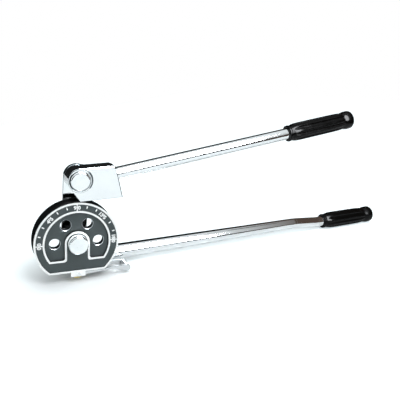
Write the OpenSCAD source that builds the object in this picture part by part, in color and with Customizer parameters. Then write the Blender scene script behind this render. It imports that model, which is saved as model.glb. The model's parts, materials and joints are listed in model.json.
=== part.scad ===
// Lever tube bender: a grooved form wheel on a fixed lower handle, and a link that carries
// an upper handle with a forming shoe around the wheel. Millimetres.
// Origin: the wheel's axis at the middle of its groove. X runs along the lower handle,
// Y runs along the wheel's axis from the dial to the back, Z is up.

/* [Tube and wheel] */
// Outside diameter of the tube that is bent
tube_d = 12.7; // [10:0.1:14]
// Bend radius at the tube's centre line
bend_r = 38; // [36:0.5:42]
// Side clearance of the tube in its groove
groove_gap = 0.05; // [0.02:0.01:0.15]
// Thickness of each groove wall at the rim
flange_t = 1.8; // [1.6:0.1:3]
// Height of the rim past the tube's centre line
rim_lip = 2; // [1:0.1:2.4]
// Distance of the wheel's flat below its axis
flat_drop = 30; // [29:0.5:31]
// Thickness of the wheel's web behind the dial's pockets
web_t = 6.2; // [5:0.1:7]
// Radius of the boss round the hub pin at the back
back_boss_r = 12.5; // [11:0.1:13]
// Wall between the hollow at the back and the groove
rim_wall = 3; // [2:0.1:4]
// Distance of the hollow's lower edge below the axis
hollow_drop = 16.5; // [15:0.1:17]
// Turn of the dial about the wheel's axis
lean = 2.8; // [0:0.1:4]

/* [Dial] */
// Radius of the middle of the raised inner line
arch_r = 31; // [30:0.5:32]
// Distance of the raised inner line below the axis
arch_drop = 17.5; // [17:0.5:19]
// Half the width of the boss that the inner line goes round
boss_half = 10.8; // [10.6:0.1:12]
// Corner radius where that boss meets the inner line
boss_fillet = 2.5; // [1:0.1:3]
// Width of the raised lines
line_w = 1.9; // [1:0.1:2.2]
// Depth of the dial ring below the raised lines
ring_depth = 0.7; // [0.4:0.1:1]
// Depth of the two pockets below the raised lines
pocket_depth = 2.8; // [1.2:0.1:3.4]
// Radius of the through holes
hole_r = 5; // [4:0.1:5.5]
// Radius of the circle that the through holes lie on
hole_ring_r = 20.5; // [19:0.5:22]

/* [Hub] */
// Radius of the hub pin
hub_r = 6; // [5:0.1:6.5]
// Radius of the hub pin's head
hub_head_r = 9.2; // [8:0.1:9.6]
// Height of the hub pin's head
hub_head_h = 7.5; // [4:0.1:9]

/* [Link] */
// Direction of the link from X
link_angle = 84.6; // [83:0.1:87]
// Half the width of the link
link_half = 12; // [11:0.1:12.4]
// Thickness of the link
link_t = 3.6; // [3:0.1:5]

/* [Yoke and shoe] */
// Thickness of the yoke's top
roof_t = 2; // [1.5:0.1:3]
// Radius of the yoke's round end
yoke_r = 11.5; // [11:0.1:12.5]
// Length of the yoke from its pivot to its far lower corner
yoke_len = 39.8; // [36:0.2:44]
// How far the yoke's end leans back at its top
yoke_rake = 5.6; // [2:0.2:8]
// Flattened corner at the end of the yoke's top
yoke_chamfer = 3.4; // [2:0.2:5]
// Start of the yoke's lower edge, measured back from the pivot
yoke_heel = 1; // [0:0.2:3]
// Slope of the yoke's near edge, where it leaves the round end
yoke_slant = 24; // [20:1:30]
// Distance of the forming shoe's top below the pivot
shoe_fall = 9; // [8.6:0.1:10]
// Height of the forming shoe
shoe_h = 11.13; // [10:0.01:14]
// Length of the forming shoe
shoe_len = 30; // [26:0.5:34]
// Radius of the pins that hold the shoe
shoe_pin_r = 2; // [1.5:0.1:2.5]
// Radius of the pivot pin
pivot_r = 5; // [4:0.1:5.5]
// Radius of the pivot pin's head
pivot_head_r = 9.2; // [8.5:0.1:9.6]
// Height of the pivot pin's head
pivot_head_h = 2.6; // [2:0.1:4]
// Height of the ring around the pivot pin's head
pivot_ring_h = 1.5; // [1:0.1:2]

/* [Upper handle] */
// Radius of the upper rod
upper_r = 6.15; // [6:0.05:6.3]
// Rise of the upper rod from X
upper_angle = 7.9; // [6:0.1:9]
// How far below the pivot the rod's axis passes
upper_drop = 3.2; // [2:0.1:5]
// Where the upper rod starts, along its axis from the pivot
upper_start = 13; // [12:0.5:16]
// Where the upper grip starts, along the rod from the pivot
upper_grip_at = 230; // [200:1:260]
// Length of the upper grip
upper_grip_len = 86; // [78:1:95]

/* [Lower handle] */
// Radius of the lower rod in its socket
lower_root_r = 8.3; // [7.6:0.1:8.6]
// Radius of the lower rod at its grip
lower_tip_r = 6.3; // [5.8:0.05:6.6]
// Height of the lower rod's axis below the wheel's axis
lower_drop = 27.6; // [27:0.1:28]
// Distance of the lower rod's axis behind the groove
lower_back = 20; // [19.5:0.1:22]
// Where the lower rod bends down
crank_at = 266; // [240:1:280]
// Length of the straight stretch between the two bends
crank_len = 30; // [24:1:36]
// Turn of each bend
crank_turn = 5; // [3:0.5:7]
// Radius of each bend at the rod's axis
crank_r = 40; // [30:1:60]
// Length of bare rod between the second bend and the grip
lower_grip_gap = 8; // [6:0.5:12]
// Length of the lower grip
lower_grip_len = 77; // [72:1:86]

/* [Grips] */
// Radius of a grip's collar
collar_r = 8.9; // [8:0.1:9.4]
// Length of a grip's collar
collar_len = 4; // [3:0.5:6]
// Radius of a grip's middle
grip_r = 10; // [9:0.1:10.5]
// Radius of a grip's swollen end
grip_end_r = 10.2; // [9.6:0.1:10.8]
// Length of that swollen end
grip_end_len = 11; // [8:0.5:14]
// Depth of the groove ahead of the swollen end
waist_depth = 0.9; // [0.5:0.1:1.5]
// Thickness of a grip's closed end
grip_cap_t = 8; // [6:0.5:10]

/* [Socket] */
// Wall of the lower rod's socket
socket_wall = 2.5; // [2:0.1:3]
// Where the socket starts
socket_from = 12; // [11:0.5:14]
// Where the socket ends
socket_to = 36; // [34:0.5:40]
// Where the socket's foot starts on the wheel
foot_from = -18; // [-19:0.5:-17]
// Length of the socket's foot on the wheel
foot_len = 42; // [36:0.5:42]
// Height of the socket's foot
foot_h = 8.2; // [7.6:0.1:8.6]
// Height of the foot's middle below the wheel's axis
foot_drop = 24.4; // [24:0.1:24.6]
// Thickness of the foot
foot_t = 5; // [4:0.1:6]
// Radius of the foot's screws
screw_r = 2.5; // [2:0.1:2.6]
// Distance between the two screws
screw_pitch = 14; // [13:0.5:15]
// How deep the screws go into the wheel
screw_bite = 4.5; // [4:0.1:4.8]
// Radius of the pin across the socket
cross_pin_r = 2; // [1.5:0.1:2.5]

/* [Latch] */
// Distance of the latch pin below the wheel's flat
latch_fall = 2.2; // [2.1:0.1:2.6]
// Offset of the latch pin from the middle of the flat
latch_shift = 1; // [-1:0.1:2]
// Radius of the latch pin
latch_pin_r = 1.2; // [1:0.1:1.3]
// Wall of the latch's eyes round their pin
eye_wall = 0.75; // [0.6:0.05:0.8]
// Wall of the ears below the latch pin
ear_wall = 0.8; // [0.6:0.1:1.5]
// Thickness of each ear
ear_t = 1.3; // [1.2:0.1:1.4]
// How far each ear stands proud of the wheel's face
ear_proud = 0.9; // [0.9:0.05:1.1]
// How far each ear laps the wheel's face
ear_lap = 0.8; // [0.6:0.1:0.9]
// Reach of each ear to the left of the latch pin
ear_left = 7.5; // [5:0.5:8]
// Reach of each ear to the right of the latch pin
ear_right = 6.5; // [5:0.5:8]
// Thickness of the latch's arms
arm_t = 1.1; // [0.9:0.1:1.1]
// Radius of the brass roller on the latch pin
roller_r = 6.8; // [6.4:0.1:7.6]
// Width of that roller
roller_w = 5; // [4:0.5:5.5]
// Reach of the latch from its pin to its crossbar
hook_reach = 48.7; // [48.6:0.1:50]
// Radius of the crossbar
bar_r = 3.2; // [2:0.1:3.2]
// Wall of the arms round the crossbar
lobe_wall = 0.2; // [0.2:0.1:1.5]

/* [Fits] */
// Radial clearance of a turning fit
run_gap = 0.05; // [0.02:0.01:0.09]
// Radial clearance of pieces that are fixed in each other
set_gap = 0.03; // [0.01:0.01:0.06]
// Gap between flat faces that pass each other
side_gap = 0.4; // [0.3:0.05:0.6]
// Height of washers
washer_t = 1.6; // [1:0.1:2.5]

/* [Hidden] */
$fn = 96;
STEEL = "#c9ccce";
BLACK = "#202224";
BRASS = "#c8a13c";
over = 1;
groove_r = tube_d / 2 + groove_gap;
rim_r = bend_r + rim_lip;
half_t = groove_r + flange_t;
line_half = line_w / 2;
hollow_r = bend_r - groove_r - rim_wall;
latch_drop = flat_drop + latch_fall;
eye_r = latch_pin_r + eye_wall;
ear_drop = latch_drop + latch_pin_r + ear_wall;
ear_out = half_t + ear_proud;
ear_in = ear_out - ear_t;
arm_out = ear_in - side_gap / 2;
roller_gap = 0.3;
link_y = half_t + side_gap;
link_back = link_y + link_t;
nut_grip = 1.6;
nut_h = 6;
shoe_z = rim_r + side_gap;
pivot_z = shoe_z + shoe_h + shoe_fall;
link_len = pivot_z / sin(link_angle);
pivot_x = link_len * cos(link_angle);
bush_wall = 2.5;
ring_gap = 0.3;
ring_inset = 0.3;
cheek_in = upper_r + set_gap;
shoe_half = cheek_in - set_gap;
yoke_left = pivot_x - yoke_heel;
yoke_right = pivot_x + yoke_len;
wrap_drop = 4;
blend_set = 0.05;
yoke_top = pivot_z + yoke_r - blend_set;
grip_bore_len = 60;
waist_len = 3;
screw_inset = 6;
screw_places = [foot_from + screw_inset, foot_from + screw_inset + screw_pitch];
screw_head_r = 1.7 * screw_r;
screw_head_h = 2 * screw_r;
pin_inset = 9;
pin_place = socket_to - pin_inset;
tip_x = crank_at + 2 * crank_r * sin(crank_turn) + crank_len * cos(crank_turn);
tip_drop = lower_drop + 2 * crank_r * (1 - cos(crank_turn)) + crank_len * sin(crank_turn);
bend_sink = 1;
bend_step = 0.05;
arm_top = flat_drop + side_gap;
flat_end = sqrt(rim_r * rim_r - flat_drop * flat_drop);
bar_x = latch_shift + hook_reach;
bar_drop = latch_drop + 0.2;
lobe_r = bar_r + lobe_wall;
pin_head_r = 1.6 * latch_pin_r;
pin_head_h = 0.8;
clip_r = 2.2 * latch_pin_r;
clip_t = 1;
clip_past = 1.2;
pin_cover = 1.2;
shoe_inset = 2;
head_edge = 0.8;

// Shapes that several pieces share

// A flat outline in X and Z, made solid from y0 to y1
module slab(y0, y1) {
    translate([0, y1, 0])
        rotate([90, 0, 0])
            linear_extrude(height = y1 - y0)
                children();
}

// A round bar along Y
module bar(r, y0, y1) {
    translate([0, y0, 0])
        rotate([-90, 0, 0])
            cylinder(r = r, h = y1 - y0);
}

// A hexagonal nut along Y, with its bore
module nut(bore, y0) {
    across = 1.6 * bore;
    difference() {
        translate([0, y0, 0])
            rotate([-90, 0, 0])
                intersection() {
                    cylinder(r = across / cos(30), h = nut_h, $fn = 6);
                    cylinder(r1 = across + 0.3, r2 = across + 1.8, h = nut_h + over);
                    cylinder(r = 1.12 * across, h = nut_h);
                }
        bar(bore, y0 - over, y0 + nut_h + over);
    }
}

// A washer along Y
module washer(bore, r, y0) {
    difference() {
        bar(r, y0, y0 + washer_t);
        bar(bore, y0 - over, y0 + washer_t + over);
    }
}

// A pin head along Y with a bevelled rim, its flat underside at y
module head(r, h, y) {
    bar(r, y - h + head_edge, y);
    translate([0, y - h, 0])
        rotate([-90, 0, 0])
            cylinder(r1 = r - head_edge, r2 = r, h = head_edge);
}

module at_dial() { rotate([0, lean, 0]) children(); }
module at_pivot() { translate([pivot_x, 0, pivot_z]) children(); }
module at_latch() { at_dial() translate([latch_shift, 0, -latch_drop]) children(); }
module at_upper_rod() {
    at_pivot()
        rotate([0, -upper_angle, 0])
            translate([0, 0, -upper_drop])
                rotate([0, 90, 0])
                    children();
}
module at_lower_rod(x, drop) {
    translate([x, lower_back, -drop])
        rotate([0, 90, 0])
            children();
}

// A disc with its lower part cut off
module d_outline(r, drop) {
    intersection() {
        circle(r);
        translate([-r, -drop])
            square([2 * r, r + drop]);
    }
}

// The space inside the raised inner line, made larger by grow
module arch_outline(grow) {
    half = boss_half - grow;
    low = arch_drop + grow;
    fillet = boss_fillet;
    difference() {
        d_outline(arch_r + grow, low);
        circle(half);
        translate([-half, -arch_r])
            square([2 * half, arch_r]);
        for (side = [-1, 1])
            translate([side * half, -low])
                scale([side, 1])
                    difference() {
                        square(fillet);
                        translate([fillet, fillet])
                            circle(fillet);
                    }
    }
}

// The moulded grip of a handle, along Z from its collar
module grip(len, bore) {
    body_end = len - grip_end_len;
    difference() {
        rotate_extrude()
            polygon([
                [0, 0], [collar_r, 0], [collar_r, collar_len], [grip_r - 0.6, collar_len],
                [grip_r, collar_len + 3], [grip_r, body_end - waist_len],
                [grip_r - waist_depth, body_end - waist_len / 2], [grip_r, body_end],
                [grip_end_r, body_end + 2], [grip_end_r, len - 3],
                [grip_end_r - 1.2, len - 1], [grip_end_r - 3.5, len], [0, len]
            ]);
        translate([0, 0, -over])
            cylinder(r = bore, h = len - grip_cap_t + over);
    }
}

// Fixed body

module form_wheel() {
    color(BLACK)
        difference() {
            union() {
                wheel_disc();
                latch_ears();
            }
            dial_recess();
            back_hollow();
            bar(hub_r + set_gap, -half_t - over, half_t + over);
            at_dial()
                for (angle = [0 : 60 : 180])
                    translate([hole_ring_r * cos(angle), 0, hole_ring_r * sin(angle)])
                        bar(hole_r, -half_t - over, half_t + over);
            for (x = screw_places)
                translate([x, 0, -foot_drop])
                    bar(screw_r + set_gap, half_t - screw_bite - set_gap, half_t + over);
            at_latch() {
                bar(latch_pin_r + set_gap, -ear_out - over, ear_out + over);
                bar(roller_r + roller_gap, -roller_w / 2 - roller_gap, roller_w / 2 + roller_gap);
            }
        }
}

module wheel_disc() {
    at_dial()
        intersection() {
            rotate([90, 0, 0])
                rotate_extrude()
                    difference() {
                        translate([0, -half_t])
                            square([rim_r, 2 * half_t]);
                        translate([bend_r, 0])
                            circle(groove_r);
                        translate([bend_r, -groove_r])
                            square([rim_lip + over, 2 * groove_r]);
                    }
            slab(-half_t - over, half_t + over)
                d_outline(rim_r + over, flat_drop);
        }
}

module latch_ears() {
    at_dial()
        for (y = [-ear_out, ear_in])
            slab(y, y + ear_t)
                translate([latch_shift - ear_left, -ear_drop])
                    square([ear_left + ear_right, ear_drop - flat_drop + ear_lap]);
}

module dial_recess() {
    at_dial() {
        slab(-half_t - over, -half_t + ring_depth)
            difference() {
                d_outline(rim_r - line_w, flat_drop - line_w);
                arch_outline(line_half);
            }
        slab(-half_t - over, -half_t + pocket_depth)
            arch_outline(-line_half);
    }
}

module back_hollow() {
    at_dial()
        slab(-half_t + pocket_depth + web_t, half_t + over)
            difference() {
                d_outline(hollow_r, hollow_drop);
                circle(back_boss_r);
            }
}

module hub_pin() {
    color(STEEL) {
        head(hub_head_r, hub_head_h + ring_depth, -half_t + ring_depth);
        bar(hub_r, -half_t + ring_depth, link_back + washer_t + nut_h + nut_grip);
    }
}

module hub_washer() {
    color(STEEL) washer(hub_r + set_gap, 1.7 * hub_r, link_back + side_gap / 2);
}

module hub_nut() {
    color(STEEL) nut(hub_r + set_gap, link_back + side_gap / 2 + washer_t);
}

module handle_socket() {
    outer = lower_root_r + socket_wall;
    color(BLACK)
        difference() {
            union() {
                translate([foot_from, half_t, -foot_drop - foot_h / 2])
                    cube([foot_len, foot_t, foot_h]);
                translate([socket_from, half_t, -foot_drop - foot_h / 2])
                    cube([foot_from + foot_len - socket_from, lower_back - half_t, foot_h]);
                at_lower_rod(socket_from, lower_drop)
                    cylinder(r = outer, h = socket_to - socket_from);
            }
            at_lower_rod(socket_from + socket_wall, lower_drop)
                cylinder(r = lower_root_r + set_gap, h = socket_to);
            for (x = screw_places)
                translate([x, 0, -foot_drop])
                    bar(screw_r + set_gap, half_t - over, half_t + foot_t + over);
            translate([pin_place, 0, -lower_drop])
                bar(cross_pin_r + set_gap, lower_back, lower_back + outer + over);
        }
}

module socket_screws() {
    color(STEEL)
        for (x = screw_places)
            translate([x, 0, -foot_drop]) {
                bar(screw_r, half_t - screw_bite, half_t + foot_t);
                difference() {
                    bar(screw_head_r, half_t + foot_t, half_t + foot_t + screw_head_h);
                    translate([0, half_t + foot_t + screw_r, 0])
                        rotate([-90, 0, 0])
                            cylinder(r = screw_r, h = screw_head_h, $fn = 6);
                }
            }
}

module socket_pin() {
    color(STEEL)
        translate([pin_place, 0, -lower_drop])
            bar(cross_pin_r, lower_back + set_gap, lower_back + lower_root_r + socket_wall);
}

module lower_rod() {
    start = socket_from + socket_wall + set_gap;
    color(STEEL)
        difference() {
            union() {
                at_lower_rod(start, lower_drop)
                    cylinder(r = lower_root_r, h = socket_to - start);
                at_lower_rod(socket_to, lower_drop)
                    cylinder(r1 = lower_root_r, r2 = lower_tip_r, h = crank_at - socket_to);
                at_lower_rod(crank_at, lower_drop)
                    rod_bend();
                at_lower_rod(crank_at, lower_drop)
                    translate([crank_r * (1 - cos(crank_turn)), 0, crank_r * sin(crank_turn)])
                        rotate([0, crank_turn, 0])
                            cylinder(r = lower_tip_r, h = crank_len);
                at_lower_rod(tip_x, tip_drop)
                    rotate([0, 180, 0])
                        rod_bend();
                at_lower_rod(tip_x, tip_drop)
                    cylinder(r = lower_tip_r, h = lower_grip_gap + grip_bore_len);
            }
            translate([pin_place, 0, -lower_drop])
                bar(cross_pin_r + set_gap, lower_back, lower_back + lower_root_r + over);
        }
}

// A bend of the lower rod from the Z axis towards X, sunk a little into its neighbours
module rod_bend() {
    translate([crank_r, 0, 0])
        rotate([90, 0, 180])
            rotate([0, 0, -bend_sink])
                rotate_extrude(angle = crank_turn + 2 * bend_sink)
                    translate([crank_r, 0])
                        circle(lower_tip_r - bend_step);
}

module lower_grip() {
    color(BLACK)
        at_lower_rod(tip_x + lower_grip_gap, tip_drop)
            grip(lower_grip_len, lower_tip_r + set_gap);
}

module latch_pin() {
    color(STEEL)
        at_latch() {
            bar(pin_head_r, -ear_out - pin_head_h, -ear_out);
            bar(latch_pin_r, -ear_out, ear_out + clip_t + clip_past);
        }
}

module latch_clip() {
    color(STEEL)
        at_latch()
            difference() {
                bar(clip_r, ear_out, ear_out + clip_t);
                bar(latch_pin_r + set_gap, ear_out - over, ear_out + clip_t + over);
            }
}

module latch_roller() {
    color(BRASS)
        at_latch()
            difference() {
                bar(roller_r, -roller_w / 2, roller_w / 2);
                bar(latch_pin_r + set_gap, -roller_w, roller_w);
            }
}

// Latch body

// Side view of one arm of the latch, from its eye along the wheel's flat to its crossbar
module arm_outline() {
    translate([latch_shift, -latch_drop])
        circle(eye_r);
    translate([bar_x, -bar_drop])
        circle(lobe_r);
    polygon([
        [latch_shift, -latch_drop + eye_r - blend_set], [rim_r / 2, -arm_top], [flat_end, -arm_top],
        [flat_end + 2.4, -arm_top + 0.9], [0.9 * rim_r, -arm_top + 1.6],
        [bar_x, -bar_drop + lobe_r - blend_set],
        [bar_x, -bar_drop - lobe_r + blend_set], [0.84 * rim_r, -arm_top - 0.9], [0.65 * rim_r, -arm_top - 1.8],
        [latch_shift, -latch_drop - eye_r + blend_set]
    ]);
}

module latch_hook() {
    color(STEEL)
        difference() {
            at_dial() {
                for (y = [-arm_out, arm_out - arm_t])
                    slab(y, y + arm_t)
                        arm_outline();
                translate([bar_x, 0, -bar_drop])
                    bar(bar_r, -arm_out + arm_t / 2, arm_out - arm_t / 2);
            }
            at_latch()
                bar(latch_pin_r + run_gap, -ear_out - over, ear_out + over);
        }
}

// Link body

module link_outline() {
    rotate(link_angle) {
        circle(link_half);
        translate([link_len, 0])
            circle(link_half);
        translate([0, -link_half])
            square([link_len, 2 * link_half]);
    }
}

module link_arm() {
    color(STEEL)
        difference() {
            slab(link_y, link_back)
                link_outline();
            bar(hub_r + run_gap, link_y - over, link_back + over);
            at_pivot()
                bar(pivot_r + set_gap, link_y - over, link_back + over);
        }
}

module pivot_pin() {
    color(STEEL)
        at_pivot() {
            head(pivot_head_r, pivot_head_h, -half_t - side_gap / 2);
            bar(pivot_r, -half_t - side_gap / 2, link_back + washer_t + nut_h + nut_grip);
        }
}

module pivot_washer() {
    color(STEEL) at_pivot() washer(pivot_r + set_gap, 1.8 * pivot_r, link_back);
}

module pivot_nut() {
    color(STEEL) at_pivot() nut(pivot_r + set_gap, link_back + washer_t);
}

// Upper handle body

module yoke_outline() {
    inner_r = yoke_r - blend_set;
    translate([pivot_x, pivot_z])
        circle(yoke_r);
    polygon([
        [pivot_x, yoke_top], [yoke_right - yoke_rake - yoke_chamfer, yoke_top],
        [yoke_right - yoke_rake, yoke_top - yoke_chamfer / 2], [yoke_right, shoe_z],
        [yoke_left, shoe_z], [pivot_x - inner_r * cos(yoke_slant), pivot_z - inner_r * sin(yoke_slant)]
    ]);
}

// Hollow of the channel: round inside the closed round end, open below and to the right
module channel_outline() {
    translate([pivot_x, pivot_z])
        circle(yoke_r - roof_t);
    translate([pivot_x, shoe_z - over])
        square([yoke_len + over, yoke_top - roof_t - shoe_z + over]);
    translate([pivot_x - yoke_r - over, shoe_z - over])
        square([yoke_r + 2 * over, pivot_z - wrap_drop - shoe_z + over]);
}

module yoke() {
    color(STEEL)
        difference() {
            union() {
                slab(-half_t, half_t) yoke_outline();
                at_pivot()
                    bar(yoke_r - ring_inset, -half_t - pivot_ring_h, -cheek_in);
            }
            slab(-cheek_in, cheek_in)
                channel_outline();
            at_pivot() {
                bar(pivot_head_r + ring_gap, -half_t - pivot_ring_h - over, -half_t);
                bar(pivot_r + bush_wall + set_gap, -half_t - over, half_t + over);
            }
            at_shoe_pins() bar(shoe_pin_r + set_gap, 0, half_t + over);
        }
}

module pivot_bush() {
    color(BRASS)
        at_pivot()
            difference() {
                bar(pivot_r + bush_wall, -half_t, half_t);
                bar(pivot_r + run_gap, -half_t - over, half_t + over);
            }
}

module at_shoe_pins() {
    for (share = [0.25, 0.75])
        translate([yoke_left + shoe_inset + share * shoe_len, 0, shoe_z + shoe_h * 0.72])
            children();
}

module forming_shoe() {
    color(STEEL)
        difference() {
            translate([yoke_left + shoe_inset, -shoe_half, shoe_z])
                cube([shoe_len, 2 * shoe_half, shoe_h]);
            translate([yoke_left, 0, bend_r])
                rotate([0, 90, 0])
                    cylinder(r = groove_r, h = shoe_len + 2 * shoe_inset);
            at_shoe_pins() bar(shoe_pin_r + set_gap, -shoe_half + pin_cover - set_gap, half_t);
        }
}

module shoe_pins() {
    color(STEEL) at_shoe_pins() bar(shoe_pin_r, -shoe_half + pin_cover, half_t);
}

module upper_rod() {
    color(STEEL)
        at_upper_rod()
            translate([0, 0, upper_start])
                cylinder(r = upper_r, h = upper_grip_at + grip_bore_len - upper_start);
}

module upper_grip() {
    color(BLACK)
        at_upper_rod()
            translate([0, 0, upper_grip_at])
                grip(upper_grip_len, upper_r + set_gap);
}

form_wheel();
hub_pin();
hub_washer();
hub_nut();
link_arm();
pivot_pin();
pivot_washer();
pivot_nut();
yoke();
pivot_bush();
forming_shoe();
shoe_pins();
upper_rod();
upper_grip();
handle_socket();
socket_screws();
socket_pin();
lower_rod();
lower_grip();
latch_hook();
latch_pin();
latch_roller();
latch_clip();
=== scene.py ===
"""Looks of a lever pipe bender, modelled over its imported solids."""

import json
import math

import bmesh
import bpy
from bpy.props import FloatProperty, FloatVectorProperty, IntProperty, PointerProperty
from bpy.types import Operator, Panel, PropertyGroup
from mathutils import Matrix, Vector

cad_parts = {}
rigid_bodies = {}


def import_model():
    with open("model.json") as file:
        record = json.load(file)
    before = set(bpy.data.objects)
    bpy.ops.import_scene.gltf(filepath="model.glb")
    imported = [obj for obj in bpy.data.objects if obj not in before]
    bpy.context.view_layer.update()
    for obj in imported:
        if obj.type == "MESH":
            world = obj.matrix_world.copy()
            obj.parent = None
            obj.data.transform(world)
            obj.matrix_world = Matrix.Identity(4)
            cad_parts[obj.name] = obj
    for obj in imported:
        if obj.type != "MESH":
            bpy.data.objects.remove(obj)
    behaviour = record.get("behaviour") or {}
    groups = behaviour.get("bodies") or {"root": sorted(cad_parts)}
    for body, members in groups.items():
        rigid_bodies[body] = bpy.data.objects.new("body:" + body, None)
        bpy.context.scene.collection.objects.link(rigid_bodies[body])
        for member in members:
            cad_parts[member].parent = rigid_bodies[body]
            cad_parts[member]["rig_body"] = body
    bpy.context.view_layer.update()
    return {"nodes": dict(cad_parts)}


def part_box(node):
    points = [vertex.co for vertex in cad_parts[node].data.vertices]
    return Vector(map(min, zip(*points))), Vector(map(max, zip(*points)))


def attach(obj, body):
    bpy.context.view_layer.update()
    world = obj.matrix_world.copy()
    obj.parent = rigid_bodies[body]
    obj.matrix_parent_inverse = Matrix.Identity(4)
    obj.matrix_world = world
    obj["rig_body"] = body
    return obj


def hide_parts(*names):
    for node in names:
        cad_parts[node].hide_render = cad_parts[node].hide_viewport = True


bl_info = {
    "name": "Lever pipe bender",
    "version": (1, 0, 0),
    "blender": (4, 5, 0),
    "location": "View3D > Sidebar > Pipe bender",
    "description": "Rounds, paints and plates the pieces of a hand lever pipe bender",
    "category": "Object",
}

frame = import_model()

MM = 0.001
# Sizes of the solids, in millimetres and degrees
WHEEL_LEAN = 2.8
RING_FLOOR_Y = -7.5
POCKET_FLOOR_Y = -5.4
HOLE_COUNT = 4
HOLE_STEP = 60
HOLE_RING_R = 20.5
HOLE_R = 5.0
RING_OUTER_R = 38.1
RING_INNER_R = 31.95
UPPER_SLOPE = 7.9
UPPER_DROP = 3.2
UPPER_GRIP_AT = 230.0
UPPER_GRIP_LENGTH = 86.0
# Gap between the lower grip and the floor
FLOOR_GAP = 0.03
# White paint covers what stands farther forward on the dial than this, the tops of its raised lines
PAINT_START_Y = -8.02
# Where the yoke's fold starts, right of the ring round its pivot
FOLD_START_X = 13.2
# Edges this far out are on the outside of the yoke's folds, cheeks and ring
FOLD_OUTSIDE_Y = 7.0
CHEEK_OUTSIDE_Y = 7.9
RING_OUTSIDE_Y = -9.0
# The ring's foot on the front cheek ends within this distance of the pivot
RING_FOOT_R = 14.0


def middle_of(node_name):
    """The middle of a CAD node's box, in metres."""
    low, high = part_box(node_name)
    return (low + high) / 2


# Places in metres: the upper handle's pivot in the middle plane, and the floor under the lower grip
PIVOT = middle_of("pivot_pin") * Vector((1, 0, 1))
FLOOR_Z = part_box("lower_grip")[0].z - FLOOR_GAP * MM


def linear(code):
    """An sRGB hex colour as linear red, green and blue."""
    parts = [int(code[place:place + 2], 16) / 255 for place in (1, 3, 5)]
    return tuple(p / 12.92 if p <= 0.04045 else ((p + 0.055) / 1.055) ** 2.4 for p in parts)


def colour_property(name, description, code):
    """A colour that a user may change, given as sRGB hex."""
    return FloatVectorProperty(
        name=name, description=description, subtype="COLOR", size=3, min=0, max=1, default=linear(code)
    )


class BenderSizes(PropertyGroup):
    """Sizes of the details that are added to the solids."""

    machined_edge: FloatProperty(
        name="Machined edge", description="Rounding on turned and milled edges",
        default=0.3 * MM, min=0, unit="LENGTH",
    )
    cast_edge: FloatProperty(
        name="Cast edge", description="Rounding on the painted casting's edges",
        default=0.22 * MM, min=0, unit="LENGTH",
    )
    hole_chamfer: FloatProperty(
        name="Hole chamfer", description="Countersink at the front of the wheel's holes",
        default=0.45 * MM, min=0, unit="LENGTH",
    )
    fold_radius: FloatProperty(
        name="Fold radius", description="Outside radius of the yoke's two folds",
        default=1.7 * MM, min=0, unit="LENGTH",
    )
    end_edge: FloatProperty(
        name="Sheared end", description="Rounding on the sheared ends of the yoke's cheeks",
        default=0.9 * MM, min=0, unit="LENGTH",
    )
    head_edge: FloatProperty(
        name="Pin head edge", description="Rounding round the two large pin heads",
        default=0.9 * MM, min=0, unit="LENGTH",
    )
    flute_count: IntProperty(
        name="Flutes", description="Lengthwise flutes round each grip", default=10, min=4, max=16
    )
    flute_radius: FloatProperty(
        name="Flute radius", description="Radius of one flute's hollow",
        default=2.7 * MM, min=0, unit="LENGTH",
    )
    flute_floor: FloatProperty(
        name="Flute floor", description="Distance from a grip's axis to the bottom of a flute",
        default=8.75 * MM, min=0, unit="LENGTH",
    )
    digit_size: FloatProperty(
        name="Digit size", description="Type size of the dial's numbers",
        default=4.9 * MM, min=0, unit="LENGTH",
    )
    tick_length: FloatProperty(
        name="Tick length", description="Length of a short mark on the dial",
        default=2.4 * MM, min=0, unit="LENGTH",
    )
    tick_inset: FloatProperty(
        name="Tick inset", description="Gap between the outer line and a short mark",
        default=1.1 * MM, min=0, unit="LENGTH",
    )
    tick_width: FloatProperty(
        name="Tick width", description="Width of a mark on the dial",
        default=1.0 * MM, min=0, unit="LENGTH",
    )


class BenderColours(PropertyGroup):
    """Colours of the finishes and of the stage."""

    enamel: colour_property("Enamel", "Stoved enamel on the castings", "#101213")
    # Painted reflection: this grey stands in for the pale floor mirrored in the dial's glossy floors
    dial_reflection_grey: colour_property("Dial grey", "Grey coat on the floors of the dial", "#3b4445")
    dial_white: colour_property("Dial white", "Paint on the dial's lines, marks and numbers", "#fcfefd")
    chrome: colour_property("Chrome", "Polished chrome plate", "#e5e8e9")
    zinc: colour_property("Zinc", "Zinc plate on the nuts and screws", "#bcc2c6")
    steel: colour_property("Steel", "Bare milled steel of the forming shoe", "#8e9192")
    brass: colour_property("Brass", "Turned brass of the bush and the roller", "#e3cf86")
    # Painted shade: this darker plate on the roundings of sheared edges stands in for the dark lines along
    # them
    edge_shade_tone: colour_property("Worn edge", "Plate worn thin along sheared edges", "#50585b")
    grip: colour_property("Grip", "Moulded vinyl of both grips", "#050505")
    floor: colour_property("Floor", "Pale floor of the stage", "#f4f5f5")
    floor_lift: colour_property("Floor lift", "Tint of the floor where it is lifted to white", "#edfbff")
    ceiling: colour_property("Ceiling", "Bright ceiling of the studio", "#f7fdff")
    side_wall: colour_property("Side wall", "Brown wall at the right of the studio", "#554840")
    lamp: colour_property("Lamp", "Light of both lamps", "#f8fbff")


# Making and finishing meshes

# Corners this near are one corner and edges this short are dropped, in metres
MERGE_REACH = 2e-6
SLIVER_LENGTH = 1e-6
# Faces that turn less than this, in degrees, are one face
FLAT_ANGLE = 0.4
# A face looks along an axis where that part of its normal is over this
FACING = 0.99


def activate(piece):
    """Leaves edit mode, deselects everything and makes one piece active."""
    if bpy.context.mode != "OBJECT":
        bpy.ops.object.mode_set(mode="OBJECT")
    bpy.ops.object.select_all(action="DESELECT")
    piece.select_set(True)
    bpy.context.view_layer.objects.active = piece


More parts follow.
